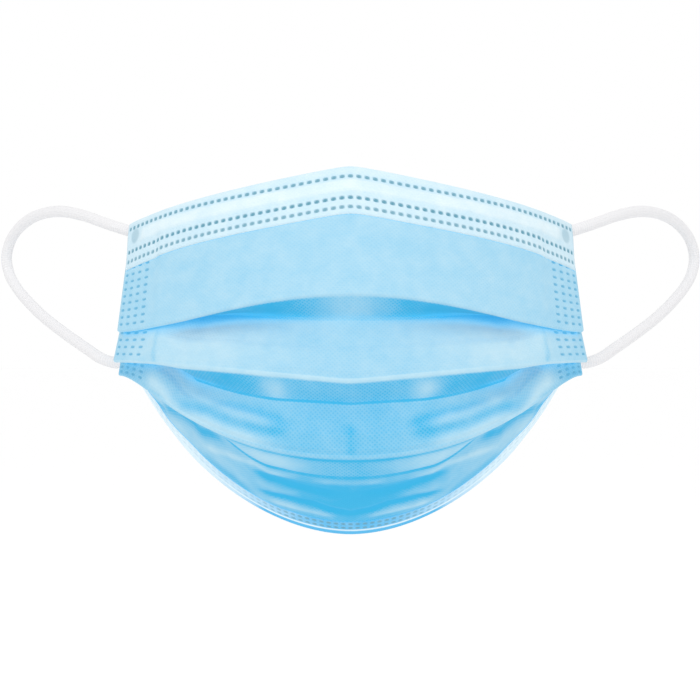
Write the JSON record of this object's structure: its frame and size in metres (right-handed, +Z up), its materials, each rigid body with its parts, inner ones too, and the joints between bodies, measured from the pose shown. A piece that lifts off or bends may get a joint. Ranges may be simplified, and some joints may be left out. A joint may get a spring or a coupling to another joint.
{
  "type": "pleated face mask",
  "caption": "Pleated disposable face mask in its worn shape, with a wired nose band, pleats pulled open over nose and chin, and elastic ear loops.",
  "frame": {"origin": "middle of the top edge, on the inner face of the cloth, where the mask sits on the bridge of the nose", "axes": "+Z up, -Y out of the front of the mask, +X to the right as seen from the front"},
  "size_m": [0.2304, 0.1301, 0.1135],
  "materials": {
    "blue_nonwoven": "matt spunbond",
    "pale_nonwoven": "matt spunbond",
    "coated_wire": "plastic-coated flat wire",
    "elastic": "knitted elastic"
  },
  "bodies": {
    "root": {"pleated_body": "blue_nonwoven", "top_band": "pale_nonwoven", "nose_wire": "coated_wire", "bottom_hem": "pale_nonwoven", "ear_loop_left": "elastic", "ear_loop_right": "elastic"}
  },
  "joints": []
}
